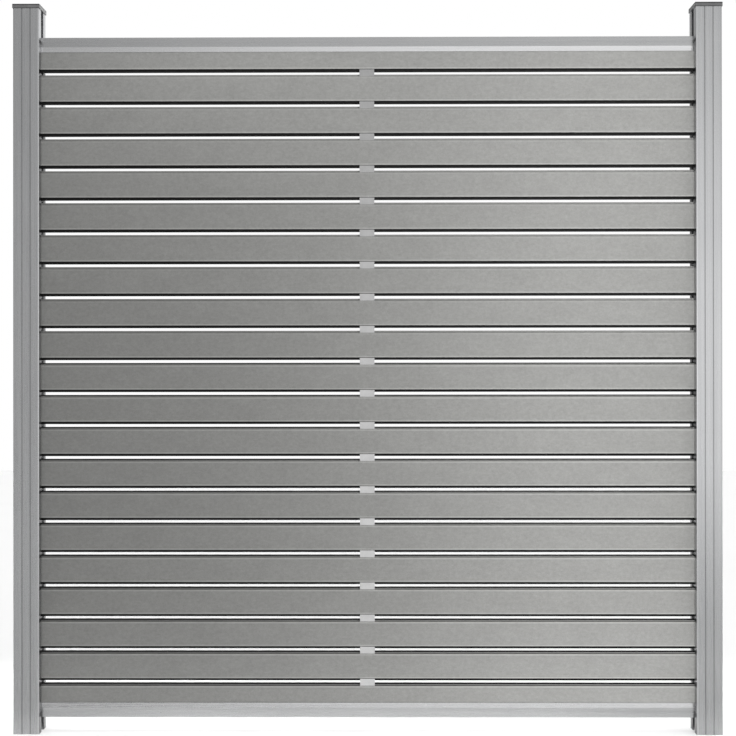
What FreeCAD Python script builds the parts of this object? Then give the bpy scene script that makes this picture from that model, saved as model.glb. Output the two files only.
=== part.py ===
import FreeCAD, Part
import Sketcher
import os

# Garden privacy screen: one bay of a plug-in fence, in millimetres.
# X runs along the screen, -Y is the front, +Z is up. The origin is on the ground,
# midway between the two feet. Two extruded aluminium posts carry, in an open channel
# down their inner faces, two rails and 21 composite boards stacked on spacer blocks.

doc = FreeCAD.newDocument("privacy_screen")

# ---------------------------------------------------------------- driving dimensions
DIMS = {
    # posts
    "clear_width": 1774.0,       # between the inner faces of the posts
    "post_size": 70.0,           # square section
    "post_length": 1970.0,
    "post_wall": 2.5,
    "post_corner": 1.6,
    "slot_width": 24.0,          # channel in the inner face
    "slot_depth": 22.0,
    "slot_wall": 2.0,
    "slot_edge": 0.7,
    "groove_offset": 11.2,       # two trim grooves each side of the middle, front and back
    "groove_width": 2.4,
    "groove_depth": 1.1,
    "port_offset": 28.5,         # screw ports in the four corners
    "port_radius": 2.6,
    "port_boss": 5.2,
    # caps
    "cap_overhang": 2.0,
    "cap_plate": 5.0,
    "cap_skirt": 6.5,            # rim below the plate, outside the post
    "cap_play": 0.35,
    "cap_edge": 1.2,
    "spigot_length": 22.0,
    "spigot_wall": 2.0,
    "spigot_half": 22.8,
    "fin_half": 1.0,
    "cap_lift": 45.0,
    # rails
    "rail_bottom": 41.0,         # ground to the underside of the bottom rail
    "rail_height": 39.0,
    "rail_flat": 26.0,
    "rail_half": 14.5,
    "rail_mouth_half": 12.0,
    "rail_wall": 1.8,
    "rail_play": 0.5,
    "rail_edge": 0.8,
    "seat_height": 16.4,
    "seat_half": 10.8,
    "rib_seat_half": 4.8,
    "rib_seat_floor": 10.5,
    "chamber_top": 8.5,
    "side_chamber_top": 14.6,
    "side_chamber_half": 6.6,
    "relief_half": 12.9,
    "relief_low": 19.0,
    "relief_high": 25.5,
    # boards
    "board_count": 21.0,
    "board_length": 1800.0,
    "board_height": 68.5,
    "board_thick": 21.0,
    "board_edge": 1.4,
    "board_pitch": 87.2,
    "rib_height": 5.5,
    "rib_thick": 9.0,
    "board_wall": 4.5,
    "board_web": 4.5,
    # spacers
    "spacer_length": 40.0,
    "spacer_half": 10.0,
    "spacer_groove_half": 4.7,
    "spacer_groove_depth": 5.8,
    "end_spacer_length": 17.0,
    "end_spacer_play": 0.2,
    # rail brackets and screws
    "bracket_height": 10.0,
    "bracket_half": 11.7,
    "bracket_lift": 0.3,
    "bracket_play": 0.2,
    "prong_length": 30.0,
    "prong_inner": 6.5,
    "prong_outer": 11.5,
    "prong_low": 2.1,
    "prong_high": 8.2,
    "screw_axis": 5.3,           # height of the screw above the rail's outer face
    "screw_clear": 2.3,
    "screw_bore": 4.2,
    "screw_seat": 3.4,
    "screw_shank": 1.85,
    "screw_head": 3.8,
    "screw_head_height": 2.6,
    "screw_length": 26.0,
    "pilot_radius": 1.95,
}

sheet = doc.addObject("Spreadsheet::Sheet", "Dims")
for row, (alias, value) in enumerate(DIMS.items(), start=1):
    sheet.set("A%d" % row, alias)
    sheet.set("B%d" % row, repr(value))
    sheet.setAlias("B%d" % row, alias)
doc.recompute()


class Size:
    """A length that holds both its number and the formula over the sheet's cells."""

    def __init__(self, text, value):
        self.text = text
        self.value = float(value)

    def __add__(self, other):
        other = size(other)
        return Size("(%s + %s)" % (self.text, other.text), self.value + other.value)

    def __sub__(self, other):
        other = size(other)
        return Size("(%s - %s)" % (self.text, other.text), self.value - other.value)

    def __mul__(self, other):
        other = size(other)
        return Size("(%s * %s)" % (self.text, other.text), self.value * other.value)

    def __truediv__(self, other):
        other = size(other)
        return Size("(%s / %s)" % (self.text, other.text), self.value / other.value)

    def __radd__(self, other):
        return size(other) + self

    def __rsub__(self, other):
        return size(other) - self

    def __rmul__(self, other):
        return size(other) * self

    def __neg__(self):
        return Size("(0 - %s)" % self.text, -self.value)


def size(value):
    if isinstance(value, Size):
        return value
    return Size("(%r)" % float(value) if value < 0 else "%r" % float(value), value)


def dim(alias):
    return Size("Dims.%s" % alias, sheet.get(alias))


def bind(obj, prop, length):
    obj.setExpression(prop, length.text)


# ---------------------------------------------------------------- body and sketch helpers
def new_body(label, compound=False):
    body = doc.addObject("PartDesign::Body", label)
    body.Label = label
    body.AllowCompound = compound
    return body


def origin_feature(body, role):
    for feature in body.Origin.OriginFeatures:
        if getattr(feature, "Role", "") == role:
            return feature
    raise RuntimeError("no origin feature " + role)


def new_sketch(body, name, role, loops=(), circles=()):
    """Closed polygons and circles, every vertex, centre and radius bound to the sheet."""
    sketch = body.newObject("Sketcher::SketchObject", name)
    sketch.AttachmentSupport = (origin_feature(body, role), [""])
    sketch.MapMode = "FlatFace"
    bound = []
    for loop in loops:
        points = [(size(x), size(y)) for x, y in loop]
        ends = [FreeCAD.Vector(x.value, y.value, 0) for x, y in points]
        first = sketch.GeometryCount
        lines = [
            Part.LineSegment(ends[i], ends[(i + 1) % len(ends)])
            for i in range(len(ends))
        ]
        sketch.addGeometry(lines, False)
        rules = []
        for i in range(len(ends)):
            rules.append(
                Sketcher.Constraint(
                    "Coincident", first + i, 2, first + (i + 1) % len(ends), 1
                )
            )
        sketch.addConstraint(rules)
        for i, (x, y) in enumerate(points):
            for kind, coordinate in (("DistanceX", x), ("DistanceY", y)):
                index = sketch.addConstraint(
                    Sketcher.Constraint(kind, -1, 1, first + i, 1, coordinate.value)
                )
                bound.append((index, coordinate))
    for x, y, radius in circles:
        x, y, radius = size(x), size(y), size(radius)
        geo = sketch.addGeometry(
            Part.Circle(
                FreeCAD.Vector(x.value, y.value, 0),
                FreeCAD.Vector(0, 0, 1),
                radius.value,
            ),
            False,
        )
        for kind, coordinate in (("DistanceX", x), ("DistanceY", y)):
            index = sketch.addConstraint(
                Sketcher.Constraint(kind, -1, 1, geo, 3, coordinate.value)
            )
            bound.append((index, coordinate))
        index = sketch.addConstraint(Sketcher.Constraint("Radius", geo, radius.value))
        bound.append((index, radius))
    for index, length in bound:
        if "Dims" in length.text:
            sketch.setExpression("Constraints[%d]" % index, length.text)
    return sketch


def pad(body, name, sketch, length, symmetric=False, reverse=False):
    feature = body.newObject("PartDesign::Pad", name)
    feature.Profile = sketch
    feature.SideType = "Symmetric" if symmetric else "One side"
    feature.Reversed = reverse
    feature.Length = length.value
    bind(feature, "Length", length)
    return feature


cuts = []


def pocket(body, name, sketch, length, reverse=False, symmetric=False):
    feature = body.newObject("PartDesign::Pocket", name)
    feature.Profile = sketch
    feature.SideType = "Symmetric" if symmetric else "One side"
    feature.Reversed = reverse
    feature.Length = length.value
    bind(feature, "Length", length)
    cuts.append(feature)
    return feature


def edges_where(feature, test):
    doc.recompute()
    names = []
    for i, edge in enumerate(feature.Shape.Edges, start=1):
        if len(edge.Vertexes) == 2 and test(edge.Vertexes[0].Point, edge.Vertexes[1].Point):
            names.append("Edge%d" % i)
    if not names:
        raise RuntimeError("no edges found for " + feature.Name)
    return names


def fillet(body, name, feature, names, radius):
    rounded = body.newObject("PartDesign::Fillet", name)
    rounded.Base = (feature, names)
    rounded.Radius = radius.value
    bind(rounded, "Radius", radius)
    return rounded


def near(a, b):
    return abs(a - b) < 1e-4


def place(body, x=None, y=None, z=None, axis=None, angle=0.0):
    if axis is not None:
        body.Placement = FreeCAD.Placement(
            FreeCAD.Vector(0, 0, 0), FreeCAD.Rotation(FreeCAD.Vector(*axis), angle)
        )
    for name, value in (("x", x), ("y", y), ("z", z)):
        if value is not None:
            bind(body, "Placement.Base." + name, size(value))


nodes = []

# ---------------------------------------------------------------- shared sizes
post_half = dim("post_size") / 2
rail_top = (
    dim("rail_bottom")
    + dim("seat_height") * 2
    + dim("board_pitch") * (dim("board_count") - 1)
    + dim("board_height")
    + 1.9
)
gap_height = dim("board_pitch") - dim("board_height")
first_gap = dim("rail_bottom") + dim("seat_height") + dim("board_height")


# ---------------------------------------------------------------- posts
# Local origin on the post's axis at the ground; the channel opens towards local +X.
def build_post(label, side):
    body = new_body(label)
    half = post_half
    wall = dim("post_wall")
    slot = dim("slot_width") / 2
    floor = half - dim("slot_depth")
    g_in = dim("groove_offset") - dim("groove_width") / 2
    g_out = dim("groove_offset") + dim("groove_width") / 2
    deep = half - dim("groove_depth")
    outer = [
        (-half, -half),
        (-g_out, -half), (-g_out, -deep), (-g_in, -deep), (-g_in, -half),
        (g_in, -half), (g_in, -deep), (g_out, -deep), (g_out, -half),
        (half, -half),
        (half, -slot), (floor, -slot), (floor, slot), (half, slot),
        (half, half),
        (g_out, half), (g_out, deep), (g_in, deep), (g_in, half),
        (-g_in, half), (-g_in, deep), (-g_out, deep), (-g_out, half),
        (-half, half),
    ]
    inside = half - wall
    jacket = slot + dim("slot_wall")
    back = floor - dim("slot_wall")
    chamber = [
        (-inside, -inside), (inside, -inside), (inside, -jacket), (back, -jacket),
        (back, jacket), (inside, jacket), (inside, inside), (-inside, inside),
    ]
    profile = new_sketch(body, label + "_profile", "XY_Plane", [outer, chamber])
    shaft = pad(body, label + "_extrusion", profile, dim("post_length"))
    off = dim("port_offset")
    corners = [(-off, -off), (off, -off), (off, off), (-off, off)]
    bosses = new_sketch(
        body, label + "_boss_profile", "XY_Plane",
        circles=[(x, y, dim("port_boss")) for x, y in corners],
    )
    boss = pad(body, label + "_bosses", bosses, dim("post_length"))
    ports = new_sketch(
        body, label + "_port_profile", "XY_Plane",
        circles=[(x, y, dim("port_radius")) for x, y in corners],
    )
    port = pocket(body, label + "_ports", ports, dim("post_length"), reverse=True)
    # pilot holes for the bracket screws, through the channel floor
    pilot = new_sketch(
        body, label + "_pilot_profile", "YZ_Plane",
        circles=[
            (0, dim("rail_bottom") + dim("screw_axis"), dim("pilot_radius")),
            (0, rail_top - dim("screw_axis"), dim("pilot_radius")),
        ],
    )
    pilots = pocket(body, label + "_pilots", pilot, floor + 1.0, reverse=True)
    h = half.value
    s = slot.value
    names = edges_where(
        pilots,
        lambda a, b: near(a.x, b.x) and near(a.y, b.y)
        and near(abs(a.x), h) and near(abs(a.y), h),
    )
    corner = fillet(body, label + "_corners", pilots, names, dim("post_corner"))
    names = edges_where(
        corner,
        lambda a, b: near(a.x, b.x) and near(a.y, b.y)
        and near(a.x, h) and near(abs(a.y), s),
    )
    lip = fillet(body, label + "_lips", corner, names, dim("slot_edge"))
    body.Tip = lip
    centre = dim("clear_width") / 2 + post_half
    if side > 0:
        place(body, x=centre, axis=(0, 0, 1), angle=180.0)
    else:
        place(body, x=-centre)
    nodes.append(body)
    return body


build_post("post_left", -1)
build_post("post_right", 1)


# ---------------------------------------------------------------- post caps
# Local origin on the post's axis at the post's top end.
def square(half):
    return [(-half, -half), (half, -half), (half, half), (-half, half)]


def build_cap(label, side):
    body = new_body(label)
    edge = post_half + dim("cap_overhang")
    plate = pad(
        body, label + "_plate",
        new_sketch(body, label + "_plate_profile", "XY_Plane", [square(edge)]),
        dim("cap_plate"),
    )
    skirt = pad(
        body, label + "_skirt",
        new_sketch(
            body, label + "_skirt_profile", "XY_Plane",
            [square(edge), square(post_half + dim("cap_play"))],
        ),
        dim("cap_skirt"), reverse=True,
    )
    low = -(post_half - dim("post_wall") - dim("cap_play"))
    high = post_half - dim("slot_depth") - dim("slot_wall") - dim("cap_play")
    wide = dim("spigot_half")
    wall = dim("spigot_wall")
    spigot = pad(
        body, label + "_spigot",
        new_sketch(
            body, label + "_spigot_profile", "XY_Plane",
            [
                [(low, -wide), (high, -wide), (high, wide), (low, wide)],
                [
                    (low + wall, -(wide - wall)), (high - wall, -(wide - wall)),
                    (high - wall, wide - wall), (low + wall, wide - wall),
                ],
            ],
        ),
        dim("spigot_length"), reverse=True,
    )
    reach = post_half - dim("post_wall") - dim("cap_play")
    fin = dim("fin_half")
    middle = (low + high) / 2
    fins = pad(
        body, label + "_fins",
        new_sketch(
            body, label + "_fin_profile", "XY_Plane",
            [
                [
                    (middle - fin, wide - 0.5), (middle + fin, wide - 0.5),
                    (middle + fin, reach), (middle - fin, reach),
                ],
                [
                    (middle - fin, -reach), (middle + fin, -reach),
                    (middle + fin, -(wide - 0.5)), (middle - fin, -(wide - 0.5)),
                ],
            ],
        ),
        dim("spigot_length"), reverse=True,
    )
    e = edge.value
    top = dim("cap_plate").value
    names = edges_where(
        fins,
        lambda a, b: (near(a.x, b.x) and near(a.y, b.y) and near(abs(a.x), e)
                      and near(abs(a.y), e))
        or (near(a.z, top) and near(b.z, top)),
    )
    rounded = fillet(body, label + "_edges", fins, names, dim("cap_edge"))
    body.Tip = rounded
    centre = dim("clear_width") / 2 + post_half
    if side > 0:
        place(body, x=centre, z=dim("post_length"), axis=(0, 0, 1), angle=180.0)
    else:
        place(body, x=-centre, z=dim("post_length"))
    nodes.append(body)


build_cap("post_cap_left", -1)
build_cap("post_cap_right", 1)


# ---------------------------------------------------------------- rails
# One extrusion, the right way up at the bottom and turned over at the top. Its mouth
# takes the edge of the end board, whose rib drops into the narrower seat below.
def build_rail(label, top):
    body = new_body(label)
    half = dim("rail_half")
    flat = dim("rail_flat")
    tall = dim("rail_height")
    mouth = dim("rail_mouth_half")
    seat = dim("seat_half")
    seat_z = dim("seat_height")
    rib = dim("rib_seat_half")
    rib_z = dim("rib_seat_floor")
    relief = dim("relief_half")
    r_low = dim("relief_low")
    r_high = dim("relief_high")
    slope = relief - seat
    right = [
        (half, 0), (half, flat), (mouth, tall), (seat, tall),
        (seat, r_high + slope), (relief, r_high), (relief, r_low), (seat, r_low - slope * 0.4),
        (seat, seat_z), (rib, seat_z), (rib, rib_z),
    ]
    outer = right + [(-x, z) for x, z in reversed(right)]
    wall = dim("rail_wall")
    inside = half - wall
    side = dim("side_chamber_half")
    low_top = dim("chamber_top")
    side_top = dim("side_chamber_top")
    chamber_right = [(inside, wall), (inside, side_top), (side, side_top), (side, low_top)]
    chamber = chamber_right + [(-x, z) for x, z in reversed(chamber_right)]
    profile = new_sketch(body, label + "_profile", "YZ_Plane", [outer, chamber])
    length = dim("clear_width") - 2 * dim("rail_play")
    bar = pad(body, label + "_extrusion", profile, length, symmetric=True)
    h = half.value
    names = edges_where(
        bar,
        lambda a, b: near(abs(a.y), h) and near(a.y, b.y) and near(a.z, 0) and near(b.z, 0),
    )
    body.Tip = fillet(body, label + "_edges", bar, names, dim("rail_edge"))
    if top:
        place(body, z=rail_top, axis=(1, 0, 0), angle=180.0)
    else:
        place(body, z=dim("rail_bottom"))
    nodes.append(body)


build_rail("bottom_rail", False)
build_rail("top_rail", True)


# ---------------------------------------------------------------- boards
# Hollow composite boards with a centred rib along both edges. The local origin is
# at mid-length on the lower shoulder, which rests on a spacer or on the rail's seat.
def build_board(number):
    label = "slat_%02d" % number
    body = new_body(label)
    half = dim("board_thick") / 2
    rib = dim("rib_thick") / 2
    tall = dim("board_height")
    out = dim("rib_height")
    outer = [
        (-half, 0), (-rib, 0), (-rib, -out), (rib, -out), (rib, 0), (half, 0),
        (half, tall), (rib, tall), (rib, tall + out), (-rib, tall + out), (-rib, tall),
        (-half, tall),
    ]
    inside = half - dim("board_wall")
    web = dim("board_web")
    chambers = 4
    room = (tall - web * (chambers + 1)) / chambers
    loops = [outer]
    for i in range(chambers):
        low = web * (i + 1) + room * i
        loops.append([(-inside, low), (inside, low), (inside, low + room), (-inside, low + room)])
    profile = new_sketch(body, label + "_profile", "YZ_Plane", loops)
    bar = pad(body, label + "_extrusion", profile, dim("board_length"), symmetric=True)
    h = half.value
    t = tall.value
    names = edges_where(
        bar,
        lambda a, b: near(abs(a.y), h) and near(a.y, b.y) and near(a.z, b.z)
        and (near(a.z, 0) or near(a.z, t)),
    )
    body.Tip = fillet(body, label + "_edges", bar, names, dim("board_edge"))
    place(
        body,
        z=dim("rail_bottom") + dim("seat_height")
        + (dim("board_count") - number) * dim("board_pitch"),
    )
    nodes.append(body)


for number in range(1, int(DIMS["board_count"]) + 1):
    build_board(number)


# ---------------------------------------------------------------- spacers
# One block for every gap, grooved above and below to sit on the boards' ribs.
def build_spacers(label, length, centre):
    body = new_body(label, compound=True)
    half = dim("spacer_half")
    groove = dim("spacer_groove_half")
    deep = dim("spacer_groove_depth")
    profile = new_sketch(
        body, label + "_profile", "YZ_Plane",
        [[
            (-half, 0), (-groove, 0), (-groove, deep), (groove, deep), (groove, 0), (half, 0),
            (half, gap_height), (groove, gap_height), (groove, gap_height - deep),
            (-groove, gap_height - deep), (-groove, gap_height), (-half, gap_height),
        ]],
    )
    block = pad(body, label + "_block", profile, length, symmetric=True)
    stack = body.newObject("PartDesign::LinearPattern", label + "_stack")
    stack.Originals = [block]
    stack.Direction = (origin_feature(body, "Z_Axis"), [""])
    run = dim("board_pitch") * (dim("board_count") - 2)
    stack.Length = run.value
    bind(stack, "Length", run)
    stack.Occurrences = int(DIMS["board_count"]) - 1
    bind(stack, "Occurrences", dim("board_count") - 1)
    body.Tip = stack
    place(body, x=centre, z=first_gap)
    nodes.append(body)


build_spacers("centre_spacers", dim("spacer_length"), size(0))
end_centre = (
    dim("clear_width") / 2 + dim("slot_depth") - dim("end_spacer_play")
    - dim("end_spacer_length") / 2
)
build_spacers("end_spacers_left", dim("end_spacer_length"), -end_centre)
build_spacers("end_spacers_right", dim("end_spacer_length"), end_centre)


# ---------------------------------------------------------------- rail brackets
# A block in the post's channel with two prongs that enter the rail's chamber. The
# local origin is on the post's inner face at the rail's outer face; the rail is at +X.
def build_bracket(label, side, top):
    body = new_body(label)
    half = dim("bracket_half")
    low = dim("bracket_lift")
    high = dim("bracket_lift") + dim("bracket_height")
    play = dim("bracket_play")
    depth = dim("slot_depth") - 2 * play
    block_profile = new_sketch(
        body, label + "_block_profile", "XZ_Plane",
        [[
            (-(depth + play), low), (-play, low), (-play, high), (-(depth + play), high),
        ]],
    )
    block = pad(body, label + "_block", block_profile, half * 2, symmetric=True)
    inner = dim("prong_inner")
    outer = dim("prong_outer")
    p_low = dim("prong_low")
    p_high = dim("prong_high")
    prong_profile = new_sketch(
        body, label + "_prong_profile", "YZ_Plane",
        [
            [(inner, p_low), (outer, p_low), (outer, p_high), (inner, p_high)],
            [(-outer, p_low), (-inner, p_low), (-inner, p_high), (-outer, p_high)],
        ],
    )
    # each prong is rooted a few millimetres inside the block
    prongs = body.newObject("PartDesign::Pad", label + "_prongs")
    prongs.Profile = prong_profile
    prongs.SideType = "Two sides"
    prongs.Length = DIMS["prong_length"]
    bind(prongs, "Length", dim("prong_length"))
    prongs.Length2 = 3.0
    hole_profile = new_sketch(
        body, label + "_hole_profile", "YZ_Plane",
        circles=[(0, dim("screw_axis"), dim("screw_clear"))],
    )
    hole = pocket(body, label + "_hole", hole_profile, depth + play * 2)
    seat_profile = new_sketch(
        body, label + "_seat_profile", "YZ_Plane",
        circles=[(0, dim("screw_axis"), dim("screw_bore"))],
    )
    seat = pocket(body, label + "_seat", seat_profile, dim("screw_seat"))
    body.Tip = seat
    edge = dim("clear_width") / 2
    # turned end for end on the right post, and turned over under the top rail
    turn = FreeCAD.Rotation(FreeCAD.Vector(0, 0, 1), 180.0 if side > 0 else 0.0)
    if top:
        turn = FreeCAD.Rotation(FreeCAD.Vector(1, 0, 0), 180.0).multiply(turn)
    body.Placement = FreeCAD.Placement(FreeCAD.Vector(0, 0, 0), turn)
    bind(body, "Placement.Base.x", edge if side > 0 else -edge)
    bind(body, "Placement.Base.z", rail_top if top else dim("rail_bottom"))
    nodes.append(body)


for height in ("bottom", "top"):
    for hand, side in (("left", -1), ("right", 1)):
        build_bracket("rail_bracket_%s_%s" % (height, hand), side, height == "top")


# ---------------------------------------------------------------- bracket screws
# Pan-head self-tapping screws, one at the bottom and one at the top of each post.
# The local origin is on the post's inner face at the lower screw; the tip is at -X.
def build_screws(label, side):
    body = new_body(label, compound=True)
    seat = dim("screw_seat")
    head = dim("screw_head")
    shank = dim("screw_shank")
    tall = dim("screw_head_height")
    length = dim("screw_length")
    profile = new_sketch(
        body, label + "_profile", "XZ_Plane",
        [[
            (-(seat - tall), 0), (-(seat - tall), head * 0.75), (-(seat - tall) - tall * 0.4, head),
            (-seat, head), (-seat, shank), (-(seat + length - 4.0), shank),
            (-(seat + length), 0),
        ]],
    )
    turned = body.newObject("PartDesign::Revolution", label + "_turning")
    turned.Profile = profile
    turned.ReferenceAxis = (origin_feature(body, "X_Axis"), [""])
    turned.Angle = 360.0
    pair = body.newObject("PartDesign::LinearPattern", label + "_pair")
    pair.Originals = [turned]
    pair.Direction = (origin_feature(body, "Z_Axis"), [""])
    run = rail_top - dim("rail_bottom") - 2 * dim("screw_axis")
    pair.Length = run.value
    bind(pair, "Length", run)
    pair.Occurrences = 2
    body.Tip = pair
    edge = dim("clear_width") / 2
    z = dim("rail_bottom") + dim("screw_axis")
    if side > 0:
        place(body, x=edge, z=z, axis=(0, 0, 1), angle=180.0)
    else:
        place(body, x=-edge, z=z)
    nodes.append(body)


build_screws("bracket_screws_left", -1)
build_screws("bracket_screws_right", 1)

# ---------------------------------------------------------------- checks and export
doc.recompute()
for obj in doc.Objects:
    state = list(obj.State)
    if "Invalid" in state or "Error" in state:
        raise RuntimeError("%s is %s" % (obj.Name, state))

for cut in cuts:
    removed = cut.BaseFeature.Shape.Volume - cut.Shape.Volume
    if removed < 1.0:
        raise RuntimeError("%s removes nothing" % cut.Name)

EXPECTED = {
    "centre_spacers": int(DIMS["board_count"]) - 1,
    "end_spacers_left": int(DIMS["board_count"]) - 1,
    "end_spacers_right": int(DIMS["board_count"]) - 1,
    "bracket_screws_left": 2,
    "bracket_screws_right": 2,
}
for body in nodes:
    shape = body.Shape
    if shape.isNull() or not shape.isValid():
        raise RuntimeError("bad shape in " + body.Label)
    solids = len(shape.Solids)
    if solids != EXPECTED.get(body.Label, 1):
        raise RuntimeError("%s has %d solids" % (body.Label, solids))

os.makedirs("parts", exist_ok=True)
for body in nodes:
    box = body.Shape.BoundBox
    print(
        "%-26s %3d solids %12.0f mm3  x %8.1f %8.1f  y %6.1f %6.1f  z %7.1f %7.1f"
        % (
            body.Label, len(body.Shape.Solids), body.Shape.Volume,
            box.XMin, box.XMax, box.YMin, box.YMax, box.ZMin, box.ZMax,
        )
    )
    body.Shape.exportStep("parts/%s.step" % body.Label)
print("wrote", len(nodes), "nodes")
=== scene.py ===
"""Garden privacy screen: looks, floor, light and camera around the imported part.

Row frame: +X to the right seen from the front, -Y the front, +Z up, origin on the
ground under the middle of the screen. Everything is in metres.
"""
import math

import bmesh
import bpy
from mathutils import Matrix, Vector


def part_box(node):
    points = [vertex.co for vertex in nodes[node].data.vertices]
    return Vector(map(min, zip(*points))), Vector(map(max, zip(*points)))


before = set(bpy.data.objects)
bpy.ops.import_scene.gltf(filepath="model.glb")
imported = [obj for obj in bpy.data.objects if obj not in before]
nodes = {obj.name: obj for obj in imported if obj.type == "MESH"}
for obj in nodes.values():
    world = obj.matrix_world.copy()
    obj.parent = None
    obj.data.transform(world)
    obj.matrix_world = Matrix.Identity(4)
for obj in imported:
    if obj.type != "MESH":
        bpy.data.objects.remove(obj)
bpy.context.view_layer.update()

scene = bpy.context.scene

# the board pattern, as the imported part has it
PITCH = 0.0872
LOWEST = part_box("slat_21")[0].z     # underside of the lowest board's lower rib
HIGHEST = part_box("slat_01")[1].z
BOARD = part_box("slat_21")[1].z - LOWEST
RIB = 0.0055
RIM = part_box("post_left")[1].z - 0.0065   # underside of the caps' rims


# ---------------------------------------------------------------- node helpers
class Shade:
    """Builds one procedural material around a Principled shader."""

    def __init__(self, name):
        self.material = bpy.data.materials.new(name)
        self.material.use_nodes = True
        self.tree = self.material.node_tree
        self.tree.nodes.clear()
        self.out = self.tree.nodes.new("ShaderNodeOutputMaterial")
        self.bsdf = self.tree.nodes.new("ShaderNodeBsdfPrincipled")
        self.tree.links.new(self.bsdf.outputs["BSDF"], self.out.inputs["Surface"])
        coords = self.tree.nodes.new("ShaderNodeTexCoord")
        self.place = coords.outputs["Object"]
        split = self.tree.nodes.new("ShaderNodeSeparateXYZ")
        self.tree.links.new(self.place, split.inputs[0])
        self.x, self.y, self.z = split.outputs
        geometry = self.tree.nodes.new("ShaderNodeNewGeometry")
        self.normal = geometry.outputs["Normal"]

    def put(self, socket, value):
        if isinstance(value, bpy.types.NodeSocket):
            self.tree.links.new(value, socket)
        elif isinstance(value, (tuple, list)) and len(value) == 3 and socket.type == "RGBA":
            socket.default_value = (*value, 1.0)
        else:
            socket.default_value = value

    def math(self, op, a, b=None, c=None, clamp=False):
        node = self.tree.nodes.new("ShaderNodeMath")
        node.operation = op
        node.use_clamp = clamp
        for socket, value in zip(node.inputs, (a, b, c)):
            if value is not None:
                self.put(socket, value)
        return node.outputs[0]

    def stretch(self, scale, shift=(0.0, 0.0, 0.0)):
        node = self.tree.nodes.new("ShaderNodeMapping")
        self.put(node.inputs["Vector"], self.place)
        node.inputs["Scale"].default_value = scale
        node.inputs["Location"].default_value = shift
        return node.outputs[0]

    def noise(self, vector, scale=1.0, detail=2.0, rough=0.5, distortion=0.0):
        node = self.tree.nodes.new("ShaderNodeTexNoise")
        node.noise_dimensions = "3D"
        self.put(node.inputs["Vector"], vector)
        node.inputs["Scale"].default_value = scale
        node.inputs["Detail"].default_value = detail
        node.inputs["Roughness"].default_value = rough
        node.inputs["Distortion"].default_value = distortion
        return node.outputs["Fac"]

    def cells(self, vector, scale):
        node = self.tree.nodes.new("ShaderNodeTexVoronoi")
        node.feature = "F1"
        self.put(node.inputs["Vector"], vector)
        node.inputs["Scale"].default_value = scale
        return node.outputs["Distance"]

    def random(self, value):
        node = self.tree.nodes.new("ShaderNodeTexWhiteNoise")
        node.noise_dimensions = "1D"
        self.put(node.inputs["W"], value)
        return node.outputs["Value"]

    def span(self, value, a, b, to_a=0.0, to_b=1.0, smooth=False):
        node = self.tree.nodes.new("ShaderNodeMapRange")
        node.interpolation_type = "SMOOTHSTEP" if smooth else "LINEAR"
        node.clamp = True
        for name, v in (("Value", value), ("From Min", a), ("From Max", b),
                        ("To Min", to_a), ("To Max", to_b)):
            self.put(node.inputs[name], v)
        return node.outputs["Result"]

    def mix(self, factor, a, b, blend="MIX"):
        node = self.tree.nodes.new("ShaderNodeMix")
        node.data_type = "RGBA"
        node.blend_type = blend
        node.clamp_factor = True
        self.put(node.inputs[0], factor)
        self.put(node.inputs[6], a)
        self.put(node.inputs[7], b)
        return node.outputs[2]

    def tilt(self):
        """How far a face looks up or down: 0 for an upright face, 1 for a level one."""
        facing = self.tree.nodes.new("ShaderNodeSeparateXYZ")
        self.put(facing.inputs[0], self.normal)
        return facing.outputs["Z"]

    def within(self, value, low, high, soft):
        """1 between low and high, fading to 0 over the soft width outside."""
        return self.math("MULTIPLY", self.span(value, low - soft, low), self.span(value, high + soft, high))

    def bump(self, height, strength, distance, under=None):
        node = self.tree.nodes.new("ShaderNodeBump")
        node.inputs["Strength"].default_value = strength
        node.inputs["Distance"].default_value = distance
        self.put(node.inputs["Height"], height)
        if under is not None:
            self.put(node.inputs["Normal"], under)
        return node.outputs[0]

    def finish(self, colour, rough, normal=None, **plain):
        self.put(self.bsdf.inputs["Base Color"], colour)
        self.put(self.bsdf.inputs["Roughness"], rough)
        if normal is not None:
            self.put(self.bsdf.inputs["Normal"], normal)
        for name, value in plain.items():
            self.bsdf.inputs[name.replace("_", " ")].default_value = value
        return self.material


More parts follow.
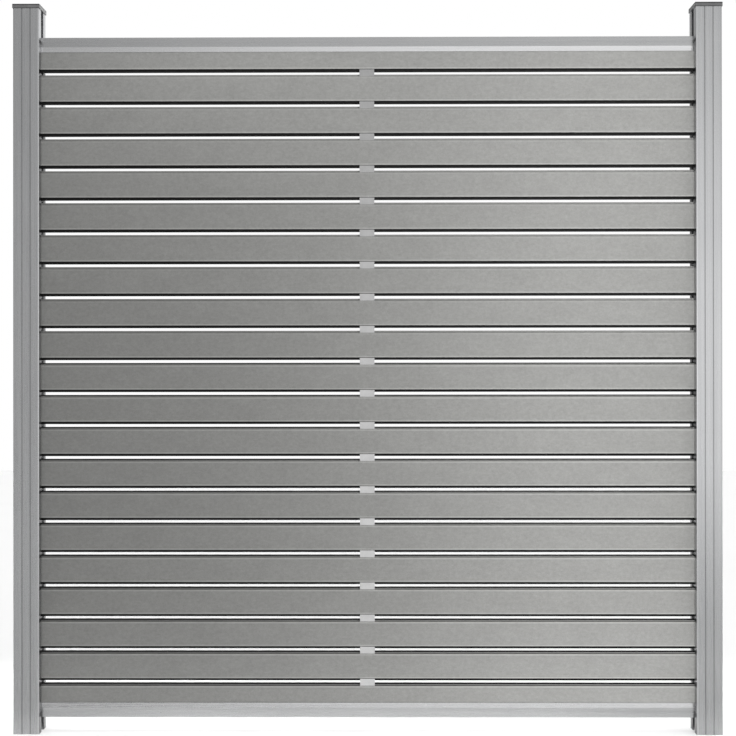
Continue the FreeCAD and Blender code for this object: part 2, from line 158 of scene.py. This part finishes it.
# ---------------------------------------------------------------- materials
def extrusion(name, along, low, high, rough, kind=""):
    """Satin anodised aluminium: die lines, faint bands and a soft cloudiness along the extrusion."""
    s = Shade(name)
    thin = (60.0, 60.0, 60.0)
    fine = [900.0, 900.0, 900.0]
    band = [190.0, 190.0, 190.0]
    fine["XYZ".index(along)] = 9.0
    band["XYZ".index(along)] = 0.8
    lines = s.noise(s.stretch(tuple(fine)), 1.0, 3.0, 0.6)
    bands = s.noise(s.stretch(tuple(band)), 1.0, 2.0, 0.5)
    cloud = s.noise(s.stretch((7.0, 7.0, 7.0)), 1.0, 3.0, 0.55)
    grain = s.noise(s.stretch((2600.0, 2600.0, 2600.0)), 1.0, 2.0, 0.6)
    tone = s.math("ADD", s.math("MULTIPLY", bands, 0.5), s.math("MULTIPLY", lines, 0.3))
    tone = s.math("ADD", tone, s.math("MULTIPLY", cloud, 0.2))
    colour = s.mix(s.span(tone, 0.34, 0.66), low, high)
    if kind == "rail":
        # painted highlight: the sloped band is a little brighter than the flat one; painted shade: the lower rail is
        # darkened towards the posts
        lean = s.math("ABSOLUTE", s.tilt())
        sloped = s.within(lean, 0.12, 0.45, 0.05)
        colour = s.mix(0.045, colour, (0.0, 0.0, 0.0))
        colour = s.mix(s.math("MULTIPLY", sloped, 0.42), colour, (0.92, 0.92, 0.93))
        rail_end_shade = s.math("MULTIPLY", s.span(s.z, 0.072, 0.060), s.span(s.math("ABSOLUTE", s.x), 0.50, 0.88, 0.0, 0.28))
        colour = s.mix(rail_end_shade, colour, (0.05, 0.05, 0.05))
    if kind == "post":
        off = s.math("ABSOLUTE", s.x)
        deep = s.math("ABSOLUTE", s.y)
        outer_face_or_rib_shade = s.span(deep, 0.0330, 0.0336)
        # painted shade: the two trim grooves and the outer corners hold a dark line; painted highlight: a pale strip
        # along the inner front corner
        groove = s.math("ABSOLUTE", s.math("SUBTRACT", s.math("ABSOLUTE", s.math("SUBTRACT", off, 0.922)), 0.0112))
        groove = s.math("MULTIPLY", s.span(groove, 0.0019, 0.0012), outer_face_or_rib_shade)
        colour = s.mix(s.math("MULTIPLY", groove, 0.37), colour, (0.03, 0.03, 0.03))
        outer = s.math("MULTIPLY", s.span(off, 0.9550, 0.9558), outer_face_or_rib_shade)
        colour = s.mix(s.math("MULTIPLY", outer, 0.42), colour, (0.03, 0.03, 0.03))
        inner_corner_highlight = s.math("MULTIPLY", s.span(off, 0.8925, 0.8900), s.span(deep, 0.0342, 0.0348))
        colour = s.mix(s.math("MULTIPLY", inner_corner_highlight, 0.55), colour, (0.93, 0.93, 0.94))
        # painted shade: darker towards the foot
        foot = s.span(s.z, 0.21, 0.0, 0.0, 0.40, smooth=True)
        colour = s.mix(foot, colour, (0.05, 0.05, 0.05))
        # painted shade on the channel's lips: dark all along the panel, darkest beside every gap, where the spacers
        # sit between the boards, and dark in the lowest 5 cm
        inner = s.span(s.math("ABSOLUTE", s.x), 0.8900, 0.8894)
        inside = s.span(s.math("ABSOLUTE", s.y), 0.0345, 0.0340)
        along_panel = s.math("MULTIPLY", s.span(s.z, LOWEST - 0.010, LOWEST - 0.006),
                             s.span(s.z, HIGHEST + 0.006, HIGHEST + 0.002))
        up = s.math("FLOORED_MODULO", s.math("SUBTRACT", s.z, LOWEST + RIB), PITCH)
        beside = s.math("MULTIPLY", s.span(up, BOARD - 2 * RIB - 0.001, BOARD - 2 * RIB + 0.001),
                        s.span(up, PITCH - 0.0004, PITCH - 0.0012))
        beside = s.math("MAXIMUM", beside, 0.30)
        dark = s.math("MULTIPLY", along_panel, beside)
        dark = s.math("MAXIMUM", dark, s.span(s.z, 0.050, 0.044, 0.0, 0.84))
        dark = s.math("MULTIPLY", s.math("MULTIPLY", inner, inside), dark)
        colour = s.mix(dark, colour, (0.07, 0.07, 0.072))
    # handling marks: sparse, slightly duller patches
    mark = s.noise(s.stretch(thin, (3.1, 1.7, 0.4)), 1.0, 4.0, 0.65, 0.6)
    mark = s.span(mark, 0.66, 0.76, smooth=True)
    roughness = s.math("ADD", s.span(lines, 0.3, 0.7, rough - 0.05, rough + 0.05),
                       s.math("MULTIPLY", mark, 0.06))
    height = s.math("ADD", lines, s.math("MULTIPLY", grain, 0.35))
    normal = s.bump(height, 0.10, 0.0002)
    return s.finish(colour, roughness, normal, Metallic=1.0)


def board(name, shaded_top_rib):
    """Brushed grey wood-plastic composite; painted shade makes the ribs and the underside nearly black."""
    s = Shade(name)
    fibre = s.noise(s.stretch((420.0, 520.0, 520.0)), 1.0, 3.0, 0.6)
    speckle = s.noise(s.stretch((1500.0, 1700.0, 1700.0)), 1.0, 2.0, 0.6)
    brush = s.noise(s.stretch((40.0, 620.0, 620.0)), 1.0, 3.0, 0.6)
    mottle = s.noise(s.stretch((95.0, 125.0, 125.0)), 1.0, 3.0, 0.55)
    cloud = s.noise(s.stretch((11.0, 22.0, 22.0)), 1.0, 2.0, 0.5)
    fleck = s.noise(s.stretch((340.0, 620.0, 620.0), (5.3, 2.2, 8.1)), 1.0, 2.0, 0.5)
    fleck = s.span(fleck, 0.62, 0.74, smooth=True)
    chip = s.noise(s.stretch((380.0, 560.0, 560.0), (1.3, 7.2, 4.1)), 1.0, 2.0, 0.5)
    chip = s.span(chip, 0.64, 0.76, smooth=True)
    index = s.math("FLOOR", s.math("DIVIDE", s.math("SUBTRACT", s.z, LOWEST), PITCH))
    own = s.random(s.math("ADD", index, 0.37))
    tone = s.math("ADD", s.math("MULTIPLY", fibre, 0.30), s.math("MULTIPLY", brush, 0.10))
    tone = s.math("ADD", tone, s.math("MULTIPLY", speckle, 0.18))
    tone = s.math("ADD", tone, s.math("MULTIPLY", mottle, 0.30))
    tone = s.math("ADD", tone, s.math("MULTIPLY", cloud, 0.12))
    tone = s.math("ADD", tone, s.math("MULTIPLY", s.math("SUBTRACT", own, 0.5), 0.02))
    colour = s.mix(s.span(tone, 0.36, 0.64), (0.242, 0.242, 0.234), (0.331, 0.331, 0.322))
    colour = s.mix(s.math("MULTIPLY", fleck, 0.40), colour, (0.167, 0.165, 0.159))
    colour = s.mix(s.math("MULTIPLY", chip, 0.40), colour, (0.427, 0.425, 0.411))
    # ribs: position within the board pattern
    up = s.math("FLOORED_MODULO", s.math("SUBTRACT", s.z, LOWEST - 0.002), PITCH)
    foot = 0.002 + RIB
    head = 0.002 + BOARD - RIB
    # painted highlight: a paler line along each long edge, along the top edge mostly on the lower boards
    edge_highlight_low = s.math("MULTIPLY", s.span(up, foot + 0.0012, foot + 0.0020), s.span(up, foot + 0.0056, foot + 0.0044))
    edge_highlight_high = s.math("MULTIPLY", s.span(up, head - 0.0058, head - 0.0046), s.span(up, head - 0.0010, head - 0.0020))
    edge_highlight = s.math("ADD", s.math("MULTIPLY", edge_highlight_low, 0.62), s.math("MULTIPLY", edge_highlight_high, 0.55 if shaded_top_rib else 0.18))
    edge_highlight = s.math("MULTIPLY", edge_highlight, s.span(mottle, 0.30, 0.60, 0.75, 1.0))
    colour = s.mix(edge_highlight, colour, (0.436, 0.436, 0.424))
    # painted shade: the lower rib and the underside nearly black
    lower = s.span(up, foot + 0.0010, foot + 0.0016, 1.0, 0.0)
    outer_face_or_rib_shade = lower
    upper = s.span(up, head - 0.0010, head - 0.0004)
    if shaded_top_rib:
        # painted shade over the top rib's tip and the ledges beside it; the rib's foot keeps the board's colour
        ledge = s.math("MULTIPLY", upper, s.span(s.tilt(), 0.75, 0.90))
        upper = s.math("MAXIMUM", ledge, s.span(up, head + 0.0024, head + 0.0032))
    else:
        # painted shade only on the faces that look up: the ledges beside the rib and the rib's tip
        upper = s.math("MULTIPLY", upper, s.span(s.tilt(), 0.75, 0.90))
    outer_face_or_rib_shade = s.math("MAXIMUM", lower, upper)
    # how dark the painted shade on the ribs is, darkest on the lower boards
    deep = 0.006 if shaded_top_rib else 0.013
    rib_shade_tone = s.mix(s.span(mottle, 0.35, 0.65), (deep, deep, deep), (deep * 1.6, deep * 1.6, deep * 1.55))
    colour = s.mix(outer_face_or_rib_shade, colour, rib_shade_tone)
    roughness = s.span(fibre, 0.3, 0.7, 0.68, 0.84)
    height = s.math("ADD", s.math("MULTIPLY", fibre, 0.6), s.math("MULTIPLY", brush, 0.4))
    height = s.math("SUBTRACT", height, s.math("MULTIPLY", fleck, 0.3))
    normal = s.bump(height, 0.30, 0.0004)
    return s.finish(colour, roughness, normal, Metallic=0.0, IOR=1.45, Specular_IOR_Level=0.25)


def moulded(name, low, high, rough, pebble, depth, rim=None):
    """Injection-moulded plastic with a fine spark-eroded grain and faint flow clouding."""
    s = Shade(name)
    grain = s.cells(s.stretch((pebble, pebble, pebble)), 1.0)
    fine = s.noise(s.stretch((pebble * 2.2,) * 3), 1.0, 2.0, 0.6)
    cloud = s.noise(s.stretch((42.0, 42.0, 42.0)), 1.0, 3.0, 0.55)
    tone = s.math("ADD", s.math("MULTIPLY", cloud, 0.6), s.math("MULTIPLY", fine, 0.4))
    colour = s.mix(s.span(tone, 0.34, 0.66), low, high)
    if rim is not None:
        # painted shade: the rim's two edges are darker than the band between them
        upright = s.span(s.math("ABSOLUTE", s.tilt()), 0.80, 0.60)
        edge = s.math("MAXIMUM", s.span(s.z, rim[1] - 0.0042, rim[1] - 0.0030), s.span(s.z, rim[0] + 0.0020, rim[0] + 0.0010))
        colour = s.mix(s.math("MULTIPLY", s.math("MULTIPLY", edge, upright), 0.72), colour, (0.02, 0.02, 0.021))
    roughness = s.span(tone, 0.3, 0.7, rough - 0.05, rough + 0.06)
    height = s.math("ADD", s.math("MULTIPLY", grain, 0.7), s.math("MULTIPLY", fine, 0.3))
    normal = s.bump(height, 0.30, depth)
    return s.finish(colour, roughness, normal, Metallic=0.0, IOR=1.46)


def steel(name):
    """Turned stainless steel: rings round each screw's axis."""
    s = Shade(name)
    turned = s.noise(s.stretch((1400.0, 260.0, 260.0)), 1.0, 3.0, 0.6)
    cloud = s.noise(s.stretch((120.0, 120.0, 120.0)), 1.0, 2.0, 0.5)
    colour = s.mix(s.span(cloud, 0.35, 0.65), (0.50, 0.50, 0.50), (0.62, 0.62, 0.61))
    roughness = s.span(turned, 0.3, 0.7, 0.24, 0.40)
    return s.finish(colour, roughness, s.bump(turned, 0.2, 0.0001), Metallic=1.0)


post_metal = extrusion("post_aluminium", "Z", (0.610, 0.616, 0.627), (0.698, 0.704, 0.712), 0.28, kind="post")
rail_metal = extrusion("rail_aluminium", "X", (0.628, 0.633, 0.643), (0.710, 0.715, 0.720), 0.26, kind="rail")
bracket_metal = extrusion("bracket_aluminium", "X", (0.56, 0.56, 0.57), (0.66, 0.66, 0.67), 0.42)
# lit and shaded copies of one board material: the lower boards' copy has painted shade over the top rib
board_high = board("composite_board_lit_top_rib", shaded_top_rib=False)
board_low = board("composite_board_shaded_top_rib", shaded_top_rib=True)
spacer = moulded("spacer_plastic", (0.37, 0.37, 0.37), (0.44, 0.44, 0.44), 0.52, 1500.0, 0.0002)
cap = moulded("cap_plastic", (0.235, 0.236, 0.239), (0.305, 0.306, 0.309), 0.27, 1300.0, 0.00012,
               rim=(RIM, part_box("post_cap_left")[1].z))
screw = steel("screw_steel")

for name, o in nodes.items():
    if name.startswith("slat_"):
        # the upper ten boards get the copy without painted shade on the top rib's front face, the others the copy with
        # it
        material = board_high if int(name[5:]) <= 10 else board_low
    elif name.startswith("post_cap"):
        material = cap
    elif name.startswith("post_"):
        material = post_metal
    elif name.endswith("_rail"):
        material = rail_metal
    elif "spacers" in name:
        material = spacer
    elif name.startswith("bracket_screws"):
        material = screw
    else:
        material = bracket_metal
    o.data.materials.clear()
    o.data.materials.append(material)


# ---------------------------------------------------------------- floor
def floor():
    mesh = bpy.data.meshes.new("studio_floor")
    bm = bmesh.new()
    corners = [bm.verts.new(c) for c in ((-7, -4.5, -0.0002), (7, -4.5, -0.0002),
                                         (7, 9, -0.0002), (-7, 9, -0.0002))]
    bm.faces.new(corners)
    bmesh.ops.subdivide_edges(bm, edges=bm.edges[:], cuts=6, use_grid_fill=True)
    bm.to_mesh(mesh)
    bm.free()
    o = bpy.data.objects.new("studio_floor", mesh)
    scene.collection.objects.link(o)
    s = Shade("studio_floor")
    cloud = s.noise(s.stretch((1.3, 1.3, 1.3)), 1.0, 3.0, 0.5)
    colour = s.mix(cloud, (0.84, 0.84, 0.84), (0.88, 0.88, 0.88))
    mesh.materials.append(s.finish(colour, 0.85, None, Metallic=0.0))
    return o


ground = floor()


# ---------------------------------------------------------------- light
def ramp(tree, value, stops):
    node = tree.nodes.new("ShaderNodeValToRGB")
    node.color_ramp.interpolation = "EASE"
    band = node.color_ramp
    while len(band.elements) < len(stops):
        band.elements.new(0.5)
    for element, (at, level) in zip(band.elements, stops):
        element.position = at
        element.color = (level, level, level, 1.0)
    tree.links.new(value, node.inputs["Fac"])
    return node.outputs["Color"]


def studio_world():
    """A white backdrop; the surround that lights the screen runs from dim at the left to bright at the right."""
    world = bpy.data.worlds.new("studio")
    scene.world = world
    world.use_nodes = True
    tree = world.node_tree
    tree.nodes.clear()
    out = tree.nodes.new("ShaderNodeOutputWorld")
    coords = tree.nodes.new("ShaderNodeTexCoord")
    split = tree.nodes.new("ShaderNodeSeparateXYZ")
    tree.links.new(coords.outputs["Generated"], split.inputs[0])

    def half(value):
        node = tree.nodes.new("ShaderNodeMath")
        node.operation = "MULTIPLY_ADD"
        node.inputs[1].default_value = 0.5
        node.inputs[2].default_value = 0.5
        tree.links.new(value, node.inputs[0])
        return node.outputs[0]

    def stops(*pairs):
        return [(0.5 + 0.5 * at, level) for at, level in pairs]

    def blend(mode, factor, a, b):
        node = tree.nodes.new("ShaderNodeMix")
        node.data_type = "RGBA"
        node.blend_type = mode
        if isinstance(factor, float):
            node.inputs[0].default_value = factor
        else:
            tree.links.new(factor, node.inputs[0])
        tree.links.new(a, node.inputs[6])
        tree.links.new(b, node.inputs[7])
        return node.outputs[2]

    side = ramp(tree, half(split.outputs["X"]), stops(
        (-1, 0.14), (-0.6, 0.25), (-0.26, 0.32), (-0.19, 0.49), (-0.10, 0.74), (0, 0.91), (0.10, 1.0), (0.26, 1.0),
        (0.6, 0.90), (1, 0.78)))
    rise = ramp(tree, half(split.outputs["Z"]), stops(
        (-1, 0.6), (-0.3, 0.8), (-0.16, 1.06), (0, 1.0), (0.13, 0.98), (0.19, 0.84), (0.26, 0.43), (0.45, 0.60), (0.7, 0.9),
        (1, 0.50)))
    rise_left = ramp(tree, half(split.outputs["Z"]), stops(
        (-1, 0.7), (-0.16, 1.12), (0, 1.02), (0.13, 1.08), (0.26, 1.10), (0.45, 1.0), (0.7, 1.1), (1, 0.60)))
    across = ramp(tree, half(split.outputs["X"]), stops(
        (-1, 0.0), (-0.26, 0.0), (-0.19, 0.35), (-0.10, 0.75), (0, 1.0), (1, 1.0)))
    back = ramp(tree, half(split.outputs["X"]), stops(
        (-1, 0.60), (-0.45, 0.42), (-0.24, 0.30), (-0.10, 0.48), (0.02, 0.75), (0.15, 0.92), (0.27, 1.0), (0.45, 0.85),
        (1, 0.74)))
    back_rise = ramp(tree, half(split.outputs["Z"]), stops(
        (-1, 0.6), (-0.4, 0.8), (-0.2, 1.0), (0, 1.0), (0.2, 1.0), (0.4, 0.72), (0.7, 0.95), (1, 0.65)))
    behind = ramp(tree, half(split.outputs["Y"]), stops((-1, 0.0), (-0.1, 0.0), (0.35, 1.0), (1, 1.0)))
    front = blend("MULTIPLY", 1.0, side, blend("MIX", across, rise_left, rise))
    whole = blend("MIX", behind, front, blend("MULTIPLY", 1.0, back, back_rise))
    soft = tree.nodes.new("ShaderNodeBackground")
    tree.links.new(whole, soft.inputs["Color"])
    soft.inputs["Strength"].default_value = 1.0
    plain = tree.nodes.new("ShaderNodeBackground")
    plain.inputs["Color"].default_value = (1.0, 1.0, 1.0, 1.0)
    path = tree.nodes.new("ShaderNodeLightPath")
    pick = tree.nodes.new("ShaderNodeMixShader")
    tree.links.new(path.outputs["Is Camera Ray"], pick.inputs[0])
    tree.links.new(soft.outputs[0], pick.inputs[1])
    tree.links.new(plain.outputs[0], pick.inputs[2])
    tree.links.new(pick.outputs[0], out.inputs["Surface"])


def area(name, at, toward, width, height, power, only, spread=180.0):
    """A soft panel light for the listed pieces; it doesn't show in reflections."""
    light = bpy.data.lights.new(name, "AREA")
    light.shape = "RECTANGLE"
    light.size, light.size_y = width, height
    light.energy = power
    o = bpy.data.objects.new(name, light)
    scene.collection.objects.link(o)
    o.location = at
    o.rotation_mode = "QUATERNION"
    o.rotation_quaternion = (Vector(toward) - Vector(at)).to_track_quat("-Z", "Y")
    light.spread = math.radians(spread)
    o.visible_camera = False
    o.visible_glossy = False
    receivers = bpy.data.collections.new(name + "_receivers")
    for each in only:
        receivers.objects.link(each)
    o.light_linking.receiver_collection = receivers
    if only == [ground]:
        # the screen throws no hard shadow from the floor's own lights, only the soft one of the surround
        o.light_linking.blocker_collection = receivers
    return o


studio_world()
boards = [o for name, o in nodes.items() if name.startswith("slat_")]
blocks = [o for name, o in nodes.items() if "spacers" in name]
# a tall strip stands at the right, close to the boards, so they brighten towards it
area("board_key", (0.70, -0.97, 1.0), (0.70, 0.0, 1.0), 0.3, 5.0, 27.5, boards)
area("top_left_fill", (-0.42, -0.45, 2.0), (-0.45, 0.0, 1.78), 0.8, 0.3, 1.1, boards)
area("block_key", (0.0, -1.6, 0.50), (0.0, 0.0, 0.50), 0.5, 0.5, 23.0, blocks)
# the floor under and behind the screen is lit up to the white of the backdrop, and fades softly in front of it
area("floor_wash", (0.0, 4.475, 1.0), (0.0, 4.475, 0.0), 14.0, 9.65, 280.0, [ground], spread=60.0)
area("floor_edge", (0.0, 0.30, 0.5), (0.0, 0.30, 0.0), 14.0, 0.90, 17.0, [ground], spread=40.0)
area("floor_front", (0.0, -3.2, 1.5), (0.0, -3.2, 0.0), 14.0, 4.4, 16.0, [ground])
ground.visible_shadow = False


# ---------------------------------------------------------------- camera
def camera():
    """Straight on from half height, 3.4 m in front: fitted to the screen's corners, rails and gaps."""
    data = bpy.data.cameras.new("camera")
    data.sensor_fit = "AUTO"
    data.sensor_width = 36.0
    data.lens = 1270.6 / 736.0 * 36.0
    data.clip_start, data.clip_end = 0.05, 60.0
    data.dof.use_dof = False
    o = bpy.data.objects.new("camera", data)
    scene.collection.objects.link(o)
    yaw, pitch, roll = 0.0069, 0.0021, -0.0010
    turn = (Matrix.Rotation(yaw, 4, "Z") @ Matrix.Rotation(math.pi / 2 + pitch, 4, "X")
            @ Matrix.Rotation(roll, 4, "Z"))
    o.matrix_world = Matrix.Translation((0.0262, -3.4639, 0.9817)) @ turn
    scene.camera = o


camera()

view = scene.view_settings
scene.display_settings.display_device = "sRGB"
view.view_transform = "Standard"
view.look = "None"
view.exposure = 0.0
view.gamma = 1.0
